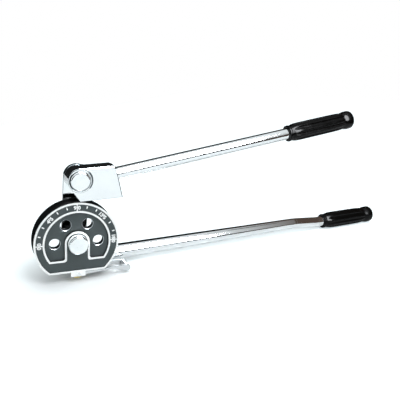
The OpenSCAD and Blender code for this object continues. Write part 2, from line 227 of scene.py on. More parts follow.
def copy_of(node_name, piece_name):
    """A new piece from a CAD node's mesh, with its triangles merged and its flat faces joined."""
    source = frame["nodes"][node_name]
    piece = bpy.data.objects.new(piece_name, source.data.copy())
    bpy.context.scene.collection.objects.link(piece)
    activate(piece)
    if piece.data.has_custom_normals:
        bpy.ops.mesh.customdata_custom_splitnormals_clear()
    bpy.ops.object.mode_set(mode="EDIT")
    bpy.ops.mesh.select_all(action="SELECT")
    bpy.ops.mesh.remove_doubles(threshold=MERGE_REACH)
    bpy.ops.mesh.dissolve_limited(angle_limit=math.radians(FLAT_ANGLE))
    bpy.ops.object.mode_set(mode="OBJECT")
    return piece


def select_edges(piece, wanted):
    """Enters edit mode with only those edges selected that wanted() picks, by the normals of an edge's two
    faces and by its middle."""
    activate(piece)
    bpy.ops.object.mode_set(mode="EDIT")
    bpy.ops.mesh.select_mode(type="EDGE")
    bpy.ops.mesh.select_all(action="DESELECT")
    shape = bmesh.from_edit_mesh(piece.data)
    for edge in shape.edges:
        if len(edge.link_faces) == 2:
            first, second = (face.normal for face in edge.link_faces)
            middle = (edge.verts[0].co + edge.verts[1].co) / 2
            edge.select_set(wanted(first, second, middle))
    bmesh.update_edit_mesh(piece.data)


def round_edges(piece, width, segments=2, limit=35, material=-1):
    """Rounds every edge that turns by more than the limit. The new faces keep their neighbours' material,
    or take the one at the index given."""
    activate(piece)
    bevel = piece.modifiers.new("rounding", "BEVEL")
    bevel.width = width
    bevel.segments = segments
    bevel.limit_method = "ANGLE"
    bevel.angle_limit = math.radians(limit)
    bevel.use_clamp_overlap = False
    bevel.material = material
    bpy.ops.object.modifier_apply(modifier=bevel.name)


def paint(piece, *materials):
    """Gives a piece its materials."""
    piece.data.materials.clear()
    for material in materials:
        piece.data.materials.append(material)


def smooth(piece, angle=40):
    """Shades a piece smooth across edges that turn less than the angle, and keeps its flat faces flat."""
    activate(piece)
    bpy.ops.object.shade_smooth_by_angle(angle=math.radians(angle))
    weighted = piece.modifiers.new("flat faces", "WEIGHTED_NORMAL")
    weighted.keep_sharp = True
    bpy.ops.object.modifier_apply(modifier=weighted.name)


def settle(piece, matrix):
    """Moves a piece to its place and puts that place in its mesh."""
    piece.matrix_world = matrix
    activate(piece)
    bpy.ops.object.transform_apply(location=True, rotation=True, scale=True)


def join(pieces, name):
    """Joins several pieces into one of that name."""
    activate(pieces[0])
    for piece in pieces:
        piece.select_set(True)
    bpy.ops.object.join()
    pieces[0].name = name
    return pieces[0]


def stand_for(piece, node_name):
    """Makes a piece take a CAD node's place on its body."""
    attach(piece, frame["nodes"][node_name]["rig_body"])
    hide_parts(node_name)


def rounded_copies(nodes, width, materials, segments=2):
    """Replaces several CAD nodes by rounded copies. A second material goes on the roundings."""
    edge_material = 1 if len(materials) > 1 else -1
    for node_name in nodes:
        piece = copy_of(node_name, "fine_" + node_name)
        paint(piece, *materials)
        round_edges(piece, width, segments, material=edge_material)
        smooth(piece)
        stand_for(piece, node_name)


# Finishes

# A wave texture repeats at this distance when its scale is 1
WAVE_PERIOD = math.tau / 20
# Places of the colours A, B and Result among the Mix node's sockets, which share those names
MIX_A = 6
MIX_B = 7
MIX_RESULT = 2


def add(tree, kind, inputs=None, **settings):
    """Adds one node, sets its properties, and fills or links its inputs."""
    made = tree.nodes.new(kind)
    for name, value in settings.items():
        setattr(made, name, value)
    for key, value in (inputs or {}).items():
        if isinstance(value, bpy.types.NodeSocket):
            tree.links.new(value, made.inputs[key])
        else:
            made.inputs[key].default_value = value
    return made


def start_material(name):
    """An empty material of that name, its node tree and its Object coordinates."""
    material = bpy.data.materials.new(name)
    material.use_nodes = True
    tree = material.node_tree
    tree.nodes.clear()
    coords = add(tree, "ShaderNodeTexCoord")
    return material, tree, coords.outputs["Object"]


def end_material(tree, sockets):
    """Closes a material with one Principled shader."""
    shader = add(tree, "ShaderNodeBsdfPrincipled", sockets)
    add(tree, "ShaderNodeOutputMaterial", {"Surface": shader.outputs["BSDF"]})


def opaque(colour):
    """A colour with full alpha."""
    return (*colour, 1)


def shaded(colour, factor):
    """A colour made darker or lighter by one factor."""
    return (*(min(1.0, part * factor) for part in colour), 1)


def enamel_with_painted_reflection():
    """Black stoved enamel on a sand casting: a soft gloss over a faint orange peel, with grey painted on the
    floors of the dial as a painted reflection of the pale floor that the glossy face mirrors, and white
    paint wiped on its raised lines."""
    colours = bpy.context.scene.bender_colours
    material, tree, place = start_material("enamel_on_cast_iron_with_painted_reflection")
    # Orange peel about 1.1 mm across, and paler and darker patches about 9 mm across
    peel = add(tree, "ShaderNodeTexNoise", {"Vector": place, "Scale": 1 / (1.1 * MM), "Detail": 2})
    patch = add(tree, "ShaderNodeTexNoise", {"Vector": place, "Scale": 1 / (9 * MM), "Detail": 3})
    enamel = add(
        tree, "ShaderNodeMix",
        {
            "Factor": patch.outputs["Fac"],
            MIX_A: shaded(colours.enamel, 0.78), MIX_B: shaded(colours.enamel, 1.22),
        },
        data_type="RGBA",
    )
    # Painted reflection: a paler grey for the dial's floors, where the glossy face mirrors the pale floor
    grey = add(
        tree, "ShaderNodeMix",
        {
            "Factor": patch.outputs["Fac"],
            MIX_A: shaded(colours.dial_reflection_grey, 0.86), MIX_B: shaded(colours.dial_reflection_grey, 1.14),
        },
        data_type="RGBA",
    )
    # The colours follow the depth of the relief: grey on the two floors as a painted reflection,
    # white on the tops of the raised lines, and the pocket walls left black as painted shade
    depth = add(tree, "ShaderNodeSeparateXYZ", {"Vector": place})
    slack = 0.04 * MM
    floors = [
        add(tree, "ShaderNodeMath", {0: depth.outputs["Y"], 1: level * MM, 2: slack}, operation="COMPARE")
        for level in (RING_FLOOR_Y, POCKET_FLOOR_Y)
    ]
    floor = add(
        tree, "ShaderNodeMath", {0: floors[0].outputs["Value"], 1: floors[1].outputs["Value"]},
        operation="MAXIMUM",
    )
    enamel = add(
        tree, "ShaderNodeMix",
        {
            "Factor": floor.outputs["Value"],
            MIX_A: enamel.outputs[MIX_RESULT], MIX_B: grey.outputs[MIX_RESULT],
        },
        data_type="RGBA",
    )
    raised = add(
        tree, "ShaderNodeMath", {0: depth.outputs["Y"], 1: PAINT_START_Y * MM}, operation="LESS_THAN"
    )
    white = add(
        tree, "ShaderNodeMix",
        {
            "Factor": patch.outputs["Fac"],
            MIX_A: shaded(colours.dial_white, 0.9), MIX_B: opaque(colours.dial_white),
        },
        data_type="RGBA",
    )
    cover = add(
        tree, "ShaderNodeMix",
        {
            "Factor": raised.outputs["Value"],
            MIX_A: enamel.outputs[MIX_RESULT], MIX_B: white.outputs[MIX_RESULT],
        },
        data_type="RGBA",
    )
    gloss = add(
        tree, "ShaderNodeMapRange",
        {"Value": patch.outputs["Fac"], "From Min": 0.3, "From Max": 0.7, "To Min": 0.3, "To Max": 0.42},
    )
    bump = add(
        tree, "ShaderNodeBump",
        {"Strength": 0.25, "Distance": 0.03 * MM, "Height": peel.outputs["Fac"]},
    )
    # The black enamel in the groove and the holes is dull with graphite, so it mirrors less than the dial
    shine = add(
        tree, "ShaderNodeMapRange",
        {"Value": floor.outputs["Value"], "From Min": 0, "From Max": 1, "To Min": 0.1, "To Max": 0.35},
    )
    end_material(tree, {
        "Base Color": cover.outputs[MIX_RESULT], "Roughness": gloss.outputs["Result"], "IOR": 1.52,
        "Specular IOR Level": shine.outputs["Result"],
        "Normal": bump.outputs["Normal"],
    })
    return material


def drilled_iron():
    """Bare iron where the holes were countersunk through the enamel: a bright grey like the zinc's, with fine
    specks."""
    colours = bpy.context.scene.bender_colours
    material, tree, place = start_material("countersunk_bare_iron")
    # Specks about 0.4 mm across
    speck = add(tree, "ShaderNodeTexNoise", {"Vector": place, "Scale": 1 / (0.4 * MM), "Detail": 2})
    tint = add(
        tree, "ShaderNodeMix",
        {"Factor": speck.outputs["Fac"], MIX_A: shaded(colours.zinc, 0.9), MIX_B: shaded(colours.zinc, 1.25)},
        data_type="RGBA",
    )
    end_material(tree, {"Base Color": tint.outputs[MIX_RESULT], "Metallic": 1, "Roughness": 0.3})
    return material


def dial_paint():
    """White brushed paint on the numbers and marks: matt, a little thin where the brush dragged."""
    colours = bpy.context.scene.bender_colours
    material, tree, place = start_material("white_brushed_dial_paint")
    # Brush drag about 0.5 mm wide
    drag = add(tree, "ShaderNodeTexNoise", {"Vector": place, "Scale": 1 / (0.5 * MM), "Detail": 2})
    tint = add(
        tree, "ShaderNodeMix",
        {
            "Factor": drag.outputs["Fac"],
            MIX_A: shaded(colours.dial_white, 0.85), MIX_B: opaque(colours.dial_white),
        },
        data_type="RGBA",
    )
    end_material(tree, {"Base Color": tint.outputs[MIX_RESULT], "Roughness": 0.5, "IOR": 1.5})
    return material


def polished_chrome(name, stretch, dullness=0.04, level=1.0):
    """Bright chrome plate over buffed steel: a mirror with a slight haze, and fine buffing lines that run
    the way the wheel went. The lines are really finer, and are drawn about 0.7 mm apart so that they show.
    A piece that isn't buffed much gets a higher dullness and a lower level."""
    colours = bpy.context.scene.bender_colours
    material, tree, place = start_material(name)
    scale = [1 / (0.7 * MM) / step for step in stretch]
    along = add(tree, "ShaderNodeMapping", {"Vector": place, "Scale": scale})
    lines = add(tree, "ShaderNodeTexNoise", {"Vector": along.outputs["Vector"], "Scale": 1, "Detail": 2})
    haze = add(tree, "ShaderNodeTexNoise", {"Vector": place, "Scale": 1 / (14 * MM), "Detail": 2})
    tint = add(
        tree, "ShaderNodeMix",
        {
            "Factor": haze.outputs["Fac"],
            MIX_A: shaded(colours.chrome, 0.93 * level), MIX_B: shaded(colours.chrome, 1.04 * level),
        },
        data_type="RGBA",
    )
    gloss = add(
        tree, "ShaderNodeMapRange",
        {
            "Value": lines.outputs["Fac"], "From Min": 0.3, "From Max": 0.7,
            "To Min": dullness, "To Max": dullness + 0.06,
        },
    )
    bump = add(
        tree, "ShaderNodeBump",
        {"Strength": 0.06, "Distance": 0.01 * MM, "Height": lines.outputs["Fac"]},
    )
    end_material(tree, {
        "Base Color": tint.outputs[MIX_RESULT], "Metallic": 1, "Roughness": gloss.outputs["Result"],
        "Normal": bump.outputs["Normal"],
    })
    return material


def sheared_edge_shade():
    """Painted shade on the sheared edges of the sheet: a plate duller and darker than the faces, in patches,
    so that the edges show as dark lines.
    """
    colours = bpy.context.scene.bender_colours
    material, tree, place = start_material("painted_shade_on_sheared_edge")
    # Patches about 2 mm across
    patch = add(tree, "ShaderNodeTexNoise", {"Vector": place, "Scale": 1 / (2 * MM), "Detail": 3})
    tint = add(
        tree, "ShaderNodeMix",
        {
            "Factor": patch.outputs["Fac"],
            MIX_A: shaded(colours.edge_shade_tone, 0.7), MIX_B: shaded(colours.edge_shade_tone, 1.4),
        },
        data_type="RGBA",
    )
    gloss = add(
        tree, "ShaderNodeMapRange",
        {"Value": patch.outputs["Fac"], "From Min": 0.3, "From Max": 0.7, "To Min": 0.25, "To Max": 0.45},
    )
    end_material(tree, {
        "Base Color": tint.outputs[MIX_RESULT], "Metallic": 1, "Roughness": gloss.outputs["Result"],
    })
    return material


def turned_chrome(name, centre):
    """Plated pin heads that were faced on a lathe: fine rings round the axis, which spread each reflection
    into two fans. The rings are drawn 0.45 mm apart so that they show."""
    colours = bpy.context.scene.bender_colours
    material, tree, place = start_material(name)
    centred = add(tree, "ShaderNodeMapping", {"Vector": place, "Location": (-centre.x, 0, -centre.z)})
    rings = add(
        tree, "ShaderNodeTexWave",
        {"Vector": centred.outputs["Vector"], "Scale": WAVE_PERIOD / (0.45 * MM), "Distortion": 0.6},
        wave_type="RINGS", rings_direction="Y",
    )
    haze = add(tree, "ShaderNodeTexNoise", {"Vector": place, "Scale": 1 / (6 * MM), "Detail": 2})
    tint = add(
        tree, "ShaderNodeMix",
        {
            "Factor": haze.outputs["Fac"],
            MIX_A: shaded(colours.chrome, 0.94), MIX_B: shaded(colours.chrome, 1.06),
        },
        data_type="RGBA",
    )
    gloss = add(
        tree, "ShaderNodeMapRange",
        {"Value": rings.outputs["Fac"], "From Min": 0, "From Max": 1, "To Min": 0.06, "To Max": 0.13},
    )
    bump = add(
        tree, "ShaderNodeBump",
        {"Strength": 0.14, "Distance": 0.02 * MM, "Height": rings.outputs["Fac"]},
    )
    end_material(tree, {
        "Base Color": tint.outputs[MIX_RESULT], "Metallic": 1, "Roughness": gloss.outputs["Result"],
        "Normal": bump.outputs["Normal"],
    })
    return material


def zinc_plate():
    """Bright zinc plate on steel fasteners: a cloudy grey with pale and dark crystals."""
    colours = bpy.context.scene.bender_colours
    material, tree, place = start_material("bright_zinc_plate")
    # Crystals about 1.5 mm across, over clouds of about 5 mm
    crystal = add(tree, "ShaderNodeTexVoronoi", {"Vector": place, "Scale": 1 / (1.5 * MM)})
    cloud = add(tree, "ShaderNodeTexNoise", {"Vector": place, "Scale": 1 / (5 * MM), "Detail": 3})
    tint = add(
        tree, "ShaderNodeMix",
        {
            "Factor": cloud.outputs["Fac"],
            MIX_A: shaded(colours.zinc, 0.78), MIX_B: shaded(colours.zinc, 1.15),
        },
        data_type="RGBA",
    )
    gloss = add(
        tree, "ShaderNodeMapRange",
        {"Value": crystal.outputs["Distance"], "From Min": 0, "From Max": 0.8, "To Min": 0.22, "To Max": 0.4},
    )
    end_material(tree, {
        "Base Color": tint.outputs[MIX_RESULT], "Metallic": 1, "Roughness": gloss.outputs["Result"],
    })
    return material


def milled_steel():
    """Bare milled steel of the forming shoe: grey, with cutter lines across it and a film of oil."""
    colours = bpy.context.scene.bender_colours
    material, tree, place = start_material("milled_steel")
    # Cutter lines 0.6 mm apart
    lines = add(
        tree, "ShaderNodeTexWave",
        {"Vector": place, "Scale": WAVE_PERIOD / (0.6 * MM), "Distortion": 1.2, "Detail": 1},
        wave_type="BANDS", bands_direction="X",
    )
    film = add(tree, "ShaderNodeTexNoise", {"Vector": place, "Scale": 1 / (7 * MM), "Detail": 3})
    tint = add(
        tree, "ShaderNodeMix",
        {
            "Factor": film.outputs["Fac"],
            MIX_A: shaded(colours.steel, 0.75), MIX_B: shaded(colours.steel, 1.15),
        },
        data_type="RGBA",
    )
    gloss = add(
        tree, "ShaderNodeMapRange",
        {"Value": film.outputs["Fac"], "From Min": 0.3, "From Max": 0.7, "To Min": 0.28, "To Max": 0.45},
    )
    bump = add(
        tree, "ShaderNodeBump",
        {"Strength": 0.2, "Distance": 0.02 * MM, "Height": lines.outputs["Fac"]},
    )
    end_material(tree, {
        "Base Color": tint.outputs[MIX_RESULT], "Metallic": 1, "Roughness": gloss.outputs["Result"],
        "Normal": bump.outputs["Normal"],
    })
    return material


def turned_brass(name, centre):
    """Turned brass: warm yellow, with tool rings round the axis and duller patches from handling."""
    colours = bpy.context.scene.bender_colours
    material, tree, place = start_material(name)
    centred = add(tree, "ShaderNodeMapping", {"Vector": place, "Location": (-centre.x, 0, -centre.z)})
    # Tool rings, really finer and drawn 0.5 mm apart so that they show
    rings = add(
        tree, "ShaderNodeTexWave",
        {"Vector": centred.outputs["Vector"], "Scale": WAVE_PERIOD / (0.5 * MM), "Distortion": 0.8},
        wave_type="RINGS", rings_direction="Y",
    )
    dull = add(tree, "ShaderNodeTexNoise", {"Vector": place, "Scale": 1 / (4 * MM), "Detail": 3})
    tint = add(
        tree, "ShaderNodeMix",
        {
            "Factor": dull.outputs["Fac"],
            MIX_A: shaded(colours.brass, 0.75), MIX_B: shaded(colours.brass, 1.15),
        },
        data_type="RGBA",
    )
    gloss = add(
        tree, "ShaderNodeMapRange",
        {"Value": dull.outputs["Fac"], "From Min": 0.3, "From Max": 0.7, "To Min": 0.2, "To Max": 0.36},
    )
    bump = add(
        tree, "ShaderNodeBump",
        {"Strength": 0.2, "Distance": 0.02 * MM, "Height": rings.outputs["Fac"]},
    )
    end_material(tree, {
        "Base Color": tint.outputs[MIX_RESULT], "Metallic": 1, "Roughness": gloss.outputs["Result"],
        "Normal": bump.outputs["Normal"],
    })
    return material


def moulded_vinyl():
    """Glossy black vinyl, dip moulded: smooth with a soft waviness, and duller where hands rub it."""
    colours = bpy.context.scene.bender_colours
    material, tree, place = start_material("moulded_black_vinyl")
    # Waves about 4 mm across and a rubbed film about 12 mm across
    wave = add(tree, "ShaderNodeTexNoise", {"Vector": place, "Scale": 1 / (4 * MM), "Detail": 1})
    rubbed = add(tree, "ShaderNodeTexNoise", {"Vector": place, "Scale": 1 / (12 * MM), "Detail": 3})
    tint = add(
        tree, "ShaderNodeMix",
        {"Factor": rubbed.outputs["Fac"], MIX_A: shaded(colours.grip, 0.7), MIX_B: shaded(colours.grip, 1.5)},
        data_type="RGBA",
    )
    gloss = add(
        tree, "ShaderNodeMapRange",
        {"Value": rubbed.outputs["Fac"], "From Min": 0.3, "From Max": 0.7, "To Min": 0.14, "To Max": 0.24},
    )
    bump = add(
        tree, "ShaderNodeBump",
        {"Strength": 0.08, "Distance": 0.05 * MM, "Height": wave.outputs["Fac"]},
    )
    end_material(tree, {
        "Base Color": tint.outputs[MIX_RESULT], "Roughness": gloss.outputs["Result"], "IOR": 1.5,
        "Specular IOR Level": 0.12,
        "Normal": bump.outputs["Normal"],
    })
    return material


# Pieces


class PIPEBENDER_OT_castings(Operator):
    """Makes the painted forming wheel and the handle socket"""

    bl_idname = "pipebender.castings"
    bl_label = "Painted castings"

    def execute(self, context):
        sizes = context.scene.bender_sizes
        enamel = enamel_with_painted_reflection()
        wheel = copy_of("form_wheel", "fine_form_wheel")
        paint(wheel, enamel)
        select_edges(wheel, self.is_hole_rim)
        wheel.data.materials.append(drilled_iron())
        bpy.ops.mesh.bevel(offset=sizes.hole_chamfer, segments=1, affect="EDGES", material=1)
        bpy.ops.object.mode_set(mode="OBJECT")
        round_edges(wheel, sizes.cast_edge)
        smooth(wheel)
        stand_for(wheel, "form_wheel")
        rounded_copies(["handle_socket"], sizes.cast_edge, [enamel])
        return {"FINISHED"}

    @staticmethod
    def is_hole_rim(first, second, middle):
        """The front rims of the four holes through the dial's pockets."""
        depth_slack = 0.05 * MM
        radius_slack = 0.2 * MM
        if abs(middle.y - POCKET_FLOOR_Y * MM) > depth_slack:
            return False
        for number in range(HOLE_COUNT):
            angle = math.radians(HOLE_STEP * number - WHEEL_LEAN)
            centre = HOLE_RING_R * MM * Vector((math.cos(angle), 0, math.sin(angle)))
            away = Vector((middle.x, 0, middle.z)) - centre
            if abs(away.length - HOLE_R * MM) < radius_slack:
                return True
        return False


# The dial's readings in degrees, and each numbered one with its digits before and after the mark
LAST_READING = 180
TICK_STEP = 15
LONG_TICK_STEP = 90
DIAL_NUMBERS = ((0, "0", "0"), (45, "4", "5"), (90, "9", "0"), (135, "13", "5"), (180, "18", "0"))
# How the marks and digits stand on the dial's floor, in millimetres
MARK_RISE = 0.15
TICK_DEPTH = 0.8
TICK_EDGE = 0.1
LONG_TICK_OVERLAP = 0.2
DIGIT_HALF_DEPTH = 0.3
DIGIT_SWELL = 0.2
DIGIT_GAP = 0.7
DIGIT_DROP = 0.3


def dial_place(reading, radius):
    """The place and turn of a mark at a dial reading: its own X runs clockwise, its Y outwards."""
    angle = math.radians(180 - reading - WHEEL_LEAN)
    outward = Vector((math.cos(angle), 0, math.sin(angle)))
    clockwise = Vector((math.sin(angle), 0, -math.cos(angle)))
    turn = Matrix((clockwise, outward, Vector((0, -1, 0)))).transposed().to_4x4()
    rise = Vector((0, RING_FLOOR_Y * MM - MARK_RISE * MM, 0))
    return Matrix.Translation(outward * radius + rise) @ turn


def make_tick(reading, length, inset):
    """One raised mark, inset from the outer line, with its edges rounded."""
    sizes = bpy.context.scene.bender_sizes
    bpy.ops.object.select_all(action="DESELECT")
    bpy.ops.mesh.primitive_cube_add(size=1)
    tick = bpy.context.object
    bpy.ops.object.mode_set(mode="EDIT")
    bpy.ops.mesh.select_all(action="SELECT")
    bpy.ops.transform.resize(value=(sizes.tick_width, length, TICK_DEPTH * MM), center_override=(0, 0, 0))
    bpy.ops.mesh.bevel(offset=TICK_EDGE * MM, segments=2, affect="EDGES")
    bpy.ops.object.mode_set(mode="OBJECT")
    radius = RING_OUTER_R * MM - inset - length / 2
    settle(tick, dial_place(reading, radius))
    return tick


def make_digits(reading, text, side):
    """One group of digits beside a mark, as a thin raised mesh. Side is -1 before the mark and 1 after it."""
    sizes = bpy.context.scene.bender_sizes
    bpy.ops.object.select_all(action="DESELECT")
    bpy.ops.object.text_add()
    digits = bpy.context.object
    digits.data.body = text
    digits.data.size = sizes.digit_size
    digits.data.extrude = DIGIT_HALF_DEPTH * MM
    digits.data.offset = DIGIT_SWELL * MM
    digits.data.resolution_u = 4
    digits.data.align_x = "RIGHT" if side < 0 else "LEFT"
    digits.data.align_y = "CENTER"
    bpy.ops.object.convert(target="MESH")
    beside = Matrix.Translation(Vector((side * DIGIT_GAP * MM, -DIGIT_DROP * MM, 0)))
    middle = (RING_OUTER_R + RING_INNER_R) / 2 * MM
    settle(digits, dial_place(reading, middle) @ beside)
    return digits


class PIPEBENDER_OT_dial_marks(Operator):
    """Makes the dial's raised marks and numbers"""

    bl_idname = "pipebender.dial_marks"
    bl_label = "Dial marks"

    def execute(self, context):
        sizes = context.scene.bender_sizes
        white = dial_paint()
        across = (RING_OUTER_R - RING_INNER_R + 2 * LONG_TICK_OVERLAP) * MM
        ticks = []
        for reading in range(0, LAST_READING + 1, TICK_STEP):
            if reading % LONG_TICK_STEP == 0:
                ticks.append(make_tick(reading, across, -LONG_TICK_OVERLAP * MM))
            else:
                ticks.append(make_tick(reading, sizes.tick_length, sizes.tick_inset))
        marks = join(ticks, "dial_ticks")
        paint(marks, white)
        smooth(marks)
        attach(marks, "base")
        groups = []
        for reading, before, after in DIAL_NUMBERS:
            groups.append(make_digits(reading, before, -1))
            groups.append(make_digits(reading, after, 1))
        numbers = join(groups, "dial_numbers")
        paint(numbers, white)
        smooth(numbers)
        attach(numbers, "base")
        return {"FINISHED"}


class PIPEBENDER_OT_plated_levers(Operator):
    """Makes the chromed yoke, link, latch and both rods"""

    bl_idname = "pipebender.plated_levers"
    bl_label = "Plated levers"

    def execute(self, context):
        sizes = context.scene.bender_sizes
        lengthwise = polished_chrome("polished_chrome_plate_lengthwise", (40, 1, 1))
        upright = polished_chrome("polished_chrome_plate_upright", (1, 1, 30))
        # The roundings of the sheet's edges take the darker plate, a painted shade that draws them as dark
        # lines
        edge_shading = sheared_edge_shade()
        yoke = copy_of("yoke", "fine_yoke")
        paint(yoke, lengthwise, edge_shading)
        activate(yoke)
        bpy.ops.object.mode_set(mode="EDIT")
        bpy.ops.mesh.select_all(action="SELECT")
        bpy.ops.mesh.bisect(plane_co=(FOLD_START_X * MM, 0, 0), plane_no=(1, 0, 0))
        select_edges(yoke, self.is_end_edge)
        bpy.ops.mesh.bevel(offset=sizes.end_edge, segments=3, affect="EDGES", material=1)
        select_edges(yoke, self.is_fold)
        bpy.ops.mesh.bevel(offset=sizes.fold_radius, segments=6, affect="EDGES", clamp_overlap=False)
        bpy.ops.mesh.select_all(action="SELECT")
        bpy.ops.mesh.dissolve_degenerate(threshold=SLIVER_LENGTH)
        select_edges(yoke, self.is_sheet_edge)
        bpy.ops.mesh.bevel(offset=sizes.machined_edge, segments=2, affect="EDGES", material=1)
        bpy.ops.object.mode_set(mode="OBJECT")
        smooth(yoke)
        stand_for(yoke, "yoke")
        sheet_edge = 0.8 * sizes.machined_edge
        rounded_copies(["link_arm"], sheet_edge, [upright, edge_shading])
        satin = polished_chrome("satin_chrome_plate_latch", (20, 1, 1), dullness=0.32, level=0.72)
        rounded_copies(["latch_hook"], sheet_edge, [satin, edge_shading])
        for node_name in ("upper_rod", "lower_rod"):
            rod = copy_of(node_name, "fine_" + node_name)
            paint(rod, lengthwise)
            smooth(rod)
            stand_for(rod, node_name)
        return {"FINISHED"}

    @staticmethod
    def is_fold(first, second, middle):
        """The two long edges where the sheet turns from the sloping roof into a cheek."""
        sideways = max(abs(first.y), abs(second.y)) > FACING
        upward = max(first.z, second.z) > 0.8 and min(abs(first.y), abs(second.y)) < 0.01
        outside = abs(middle.y) > FOLD_OUTSIDE_Y * MM and middle.x > FOLD_START_X * MM
        return sideways and upward and outside

    @staticmethod
    def is_end_edge(first, second, middle):
        """The outer edges of the cheeks at the rod's end."""
        sideways = max(abs(first.y), abs(second.y)) > FACING
        return sideways and max(first.x, second.x) > 0.7 and abs(middle.y) > CHEEK_OUTSIDE_Y * MM

    @staticmethod
    def is_sheet_edge(first, second, middle):
        """The outer rims of the ring and the sheared outer edges of the cheeks, away from the ring's foot."""
        least_turn = math.radians(50)
        if first.dot(second) > math.cos(least_turn) or min(first.length, second.length) < 0.5:
            return False
        if middle.y < RING_OUTSIDE_Y * MM:
            return True
        away = Vector((middle.x, 0, middle.z)) - PIVOT
        return away.length > RING_FOOT_R * MM and abs(middle.y) > CHEEK_OUTSIDE_Y * MM


class PIPEBENDER_OT_pins(Operator):
    """Makes the two large pins, the small pins, the nuts, the washers and the screws"""

    bl_idname = "pipebender.pins"
    bl_label = "Pins and fasteners"

    def execute(self, context):
        sizes = context.scene.bender_sizes
        hub_chrome = turned_chrome("turned_chrome_hub", middle_of("hub_pin"))
        rounded_copies(["hub_pin"], sizes.head_edge, [hub_chrome], segments=3)
        pivot_chrome = turned_chrome("turned_chrome_pivot", PIVOT)
        rounded_copies(["pivot_pin"], sizes.head_edge, [pivot_chrome], segments=3)
        small_edge = 0.6 * sizes.machined_edge
        nuts = ["hub_washer", "hub_nut", "pivot_washer", "pivot_nut"]
        fixings = ["socket_screws", "socket_pin", "latch_clip"]
        rounded_copies(nuts + fixings, small_edge, [zinc_plate()])
        polished = polished_chrome("polished_chrome_plate_pin", (1, 1, 1))
        rounded_copies(["latch_pin"], small_edge, [polished])
        return {"FINISHED"}


class PIPEBENDER_OT_bare_metal(Operator):
    """Makes the forming shoe, its pins, the bush and the roller"""

    bl_idname = "pipebender.bare_metal"
    bl_label = "Bare metal"

    def execute(self, context):
        sizes = context.scene.bender_sizes
        rounded_copies(["forming_shoe", "shoe_pins"], sizes.machined_edge, [milled_steel()])
        bush_brass = turned_brass("turned_brass_bush", PIVOT)
        rounded_copies(["pivot_bush"], 0.5 * sizes.machined_edge, [bush_brass])
        roller_brass = turned_brass("turned_brass_roller", middle_of("latch_roller"))
        rounded_copies(["latch_roller"], sizes.machined_edge, [roller_brass])
        return {"FINISHED"}


# Outline of a grip in millimetres: distance from its start or, where negative, from its end, and radius
GRIP_PROFILE = (
    (0.0, 8.2), (0.5, 8.8), (2.2, 8.9), (2.7, 8.5), (3.2, 8.0), (3.9, 8.15), (5.2, 8.55), (7, 9.05), (9, 9.5),
    (11.5, 9.85), (15, 10.05), (20, 10.1), (-28, 10.1), (-20, 9.95), (-16, 9.6), (-14, 9.25), (-12.8, 9.15),
    (-11.6, 9.3), (-10, 9.75), (-8, 10.1), (-6, 10.2), (-3.4, 10.2), (-1.8, 9.95), (-0.7, 9.3), (-0.15, 8.2),
    (0.0, 6.6),
)
# Where the flutes begin and how far before the grip's end they stop, and the rounding of their edges
FLUTE_START = 4.2
FLUTE_STOP = 12.8
FLUTE_EDGE = 0.25
# Sides of a grip's round body and of a flute's cutter
GRIP_SIDES = 120
FLUTE_SIDES = 64


def turn_grip(length):
    """The plain round body of a grip, standing on its collar along Z."""
    stations = []
    for number, (along, radius) in enumerate(GRIP_PROFILE):
        from_end = along < 0 or number == len(GRIP_PROFILE) - 1
        stations.append(((length + along if from_end else along) * MM, radius * MM))
    bpy.ops.object.select_all(action="DESELECT")
    first, second = stations[0], stations[1]
    bpy.ops.mesh.primitive_cylinder_add(
        vertices=GRIP_SIDES, radius=first[1], depth=second[0] - first[0],
        location=(0, 0, (first[0] + second[0]) / 2),
    )
    grip = bpy.context.object
    bpy.ops.object.transform_apply(location=True, rotation=True, scale=True)
    bpy.ops.object.mode_set(mode="EDIT")
    bpy.ops.mesh.select_mode(type="FACE")
    bpy.ops.mesh.select_all(action="DESELECT")
    shape = bmesh.from_edit_mesh(grip.data)
    for face in shape.faces:
        face.select_set(face.normal.z > 0.9)
    bmesh.update_edit_mesh(grip.data)
    swell = second[1] / first[1]
    bpy.ops.transform.resize(value=(swell, swell, 1), center_override=(0, 0, second[0]))
    for before, after in zip(stations[1:], stations[2:]):
        bpy.ops.mesh.extrude_region_move(TRANSFORM_OT_translate={"value": (0, 0, after[0] - before[0])})
        swell = after[1] / before[1]
        bpy.ops.transform.resize(value=(swell, swell, 1), center_override=(0, 0, after[0]))
    bpy.ops.object.mode_set(mode="OBJECT")
    return grip


def cut_flutes(grip, length):
    """Cuts the lengthwise flutes round a grip."""
    sizes = bpy.context.scene.bender_sizes
    cutters = []
    top = (length - FLUTE_STOP) * MM
    bottom = FLUTE_START * MM
    for number in range(sizes.flute_count):
        angle = math.tau * (number + 0.5) / sizes.flute_count
        reach = sizes.flute_floor + sizes.flute_radius
        bpy.ops.object.select_all(action="DESELECT")
        bpy.ops.mesh.primitive_cylinder_add(
            vertices=FLUTE_SIDES, radius=sizes.flute_radius, depth=top - bottom,
            location=(reach * math.cos(angle), reach * math.sin(angle), (top + bottom) / 2),
        )
        cutters.append(bpy.context.object)
        bpy.ops.object.transform_apply(location=True, rotation=True, scale=True)
    cutter = join(cutters, "flute_cutter")
    activate(grip)
    carve = grip.modifiers.new("flutes", "BOOLEAN")
    carve.operation = "DIFFERENCE"
    carve.solver = "EXACT"
    carve.object = cutter
    bpy.ops.object.modifier_apply(modifier=carve.name)
    bpy.data.objects.remove(cutter)
    round_edges(grip, FLUTE_EDGE * MM, limit=28)


def fit_grip(name, node_name, length, start, turn, vinyl):
    """Makes one fluted grip and pushes it on its rod, from its start on and turned about Y."""
    grip = turn_grip(length)
    cut_flutes(grip, length)
    grip.name = name
    settle(grip, Matrix.Translation(start) @ Matrix.Rotation(turn, 4, "Y"))
    paint(grip, vinyl)
    smooth(grip, angle=50)
    stand_for(grip, node_name)


